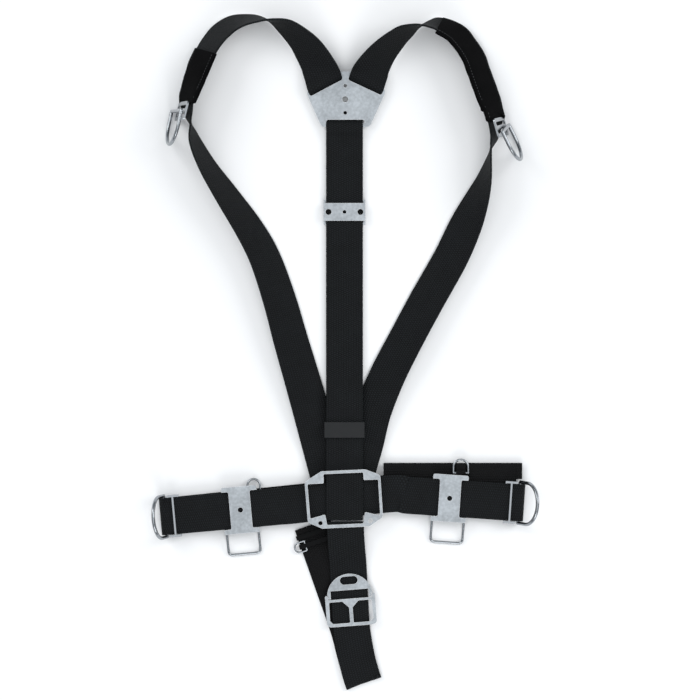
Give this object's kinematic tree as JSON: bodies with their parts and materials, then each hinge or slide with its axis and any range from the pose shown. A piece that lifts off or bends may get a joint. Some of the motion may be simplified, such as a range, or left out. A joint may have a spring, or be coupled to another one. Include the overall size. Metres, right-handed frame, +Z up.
{
  "type": "breathing apparatus harness",
  "caption": "Diving harness of black webbing lying back side up: shoulder straps, spine strap, belt and crotch strap, joined by steel plates, with D-rings that carry breathing cylinders.",
  "frame": {"origin": "on the floor under the middle of the whole harness as it lies flat", "axes": "+Y towards the head end along the spine strap, +Z up from the floor towards the back side, +X to the right seen from above"},
  "size_m": [0.5205, 0.918, 0.0612],
  "materials": {
    "webbing": "matt woven nylon",
    "neoprene": "matt knitted",
    "rubber": "glossy",
    "steel_plate": "bead blasted satin",
    "steel_wire": "electropolished"
  },
  "bodies": {
    "harness": {"shoulder_plate": "steel_plate", "spine_strap": "webbing", "shoulder_strap_left": "webbing", "shoulder_strap_right": "webbing", "shoulder_pad_left": "neoprene", "shoulder_pad_right": "neoprene", "shoulder_slide_left": "steel_wire", "shoulder_slide_right": "steel_wire", "lumbar_plate": "steel_plate", "waist_belt": "webbing", "front_belt_left": "webbing", "front_belt_right": "webbing", "belt_tail": "webbing", "hip_slide_left": "steel_wire", "hip_slide_right": "steel_wire", "waist_buckle_frame": "steel_plate", "waist_buckle_pin": "steel_wire", "crotch_strap": "webbing", "crotch_strap_front": "webbing", "crotch_buckle_frame": "steel_plate", "crotch_band_upper": "rubber", "crotch_band_lower": "rubber"},
    "spine_plate": {"spine_plate": "steel_wire"},
    "keeper_band": {"keeper_band": "rubber"},
    "shoulder_ring_left": {"shoulder_d_ring_left": "steel_wire"},
    "shoulder_ring_right": {"shoulder_d_ring_right": "steel_wire"},
    "hip_plate_left": {"hip_plate_left": "steel_plate"},
    "hip_plate_right": {"hip_plate_right": "steel_plate"},
    "drop_ring_left": {"drop_ring_left": "steel_wire"},
    "drop_ring_right": {"drop_ring_right": "steel_wire"},
    "hip_ring_left": {"hip_d_ring_left": "steel_wire"},
    "hip_ring_right": {"hip_d_ring_right": "steel_wire"},
    "front_ring_left": {"front_d_ring_left": "steel_wire"},
    "front_ring_right": {"front_d_ring_right": "steel_wire"},
    "crotch_ring": {"crotch_d_ring": "steel_wire"},
    "buckle_lever": {"crotch_buckle_lever": "steel_plate"},
    "buckle_cam": {"waist_buckle_cam": "steel_plate"}
  },
  "joints": [
    {"name": "spine_plate_slide", "type": "slide", "parent": "harness", "child": "spine_plate", "axis": [0, 1, 0], "range_m": [-0.1, 0.06]},
    {"name": "keeper_slide", "type": "slide", "parent": "harness", "child": "keeper_band", "axis": [0, 1, 0], "range_m": [-0.006, 0.03]},
    {"name": "hip_plate_slide_left", "type": "slide", "parent": "harness", "child": "hip_plate_left", "axis": [0.9959, 0.0901, 0], "range_m": [-0.03, 0.03]},
    {"name": "hip_plate_slide_right", "type": "slide", "parent": "harness", "child": "hip_plate_right", "axis": [0.9977, -0.0671, 0], "range_m": [-0.03, 0.03]},
    {"name": "shoulder_ring_swing_left", "type": "hinge", "parent": "harness", "child": "shoulder_ring_left", "pos_m": [-0.2265, 0.326, 0.031], "axis": [0.3023, -0.0642, 0.9511], "range_deg": [-100, 0]},
    {"name": "shoulder_ring_swing_right", "type": "hinge", "parent": "harness", "child": "shoulder_ring_right", "pos_m": [0.2175, 0.302, 0.0325], "axis": [-0.2152, -0.2582, 0.9418], "range_deg": [0, 100]},
    {"name": "drop_ring_swing_left", "type": "hinge", "parent": "hip_plate_left", "child": "drop_ring_left", "pos_m": [-0.13838, -0.24238, 0.0102], "axis": [0.9959, 0.0901, 0], "range_deg": [-28, 70]},
    {"name": "drop_ring_swing_right", "type": "hinge", "parent": "hip_plate_right", "child": "drop_ring_right", "pos_m": [0.14055, -0.22663, 0.0102], "axis": [0.9977, -0.0671, 0], "range_deg": [-28, 70]},
    {"name": "hip_ring_swing_left", "type": "hinge", "parent": "harness", "child": "hip_ring_left", "pos_m": [-0.2435, -0.2227, 0.00675], "axis": [-0.0901, 0.9959, 0], "range_deg": [-72, 14]},
    {"name": "hip_ring_swing_right", "type": "hinge", "parent": "harness", "child": "hip_ring_right", "pos_m": [0.2375, -0.204, 0.00675], "axis": [-0.0671, -0.9977, 0], "range_deg": [-60, 26]},
    {"name": "front_ring_swing_left", "type": "hinge", "parent": "harness", "child": "front_ring_left", "pos_m": [-0.122, -0.195, 0.0045], "axis": [0.9945, 0.1045, 0], "range_deg": [0, 18]},
    {"name": "front_ring_swing_right", "type": "hinge", "parent": "harness", "child": "front_ring_right", "pos_m": [0.158, -0.1635, 0.0098], "axis": [1, 0, 0], "range_deg": [0, 85]},
    {"name": "crotch_ring_swing", "type": "hinge", "parent": "harness", "child": "crotch_ring", "pos_m": [-0.0531, -0.2627, 0.004], "axis": [-0.3173, 0.9483, 0], "range_deg": [0, 110]},
    {"name": "buckle_lever_swing", "type": "hinge", "parent": "harness", "child": "buckle_lever", "pos_m": [0.0075, -0.332, 0.00705], "axis": [0.9969, 0.0785, 0], "range_deg": [0, 90]},
    {"name": "buckle_cam_swing", "type": "hinge", "parent": "harness", "child": "buckle_cam", "pos_m": [0.073, -0.186, 0.0034], "axis": [0, 1, 0], "range_deg": [0, 70]}
  ]
}
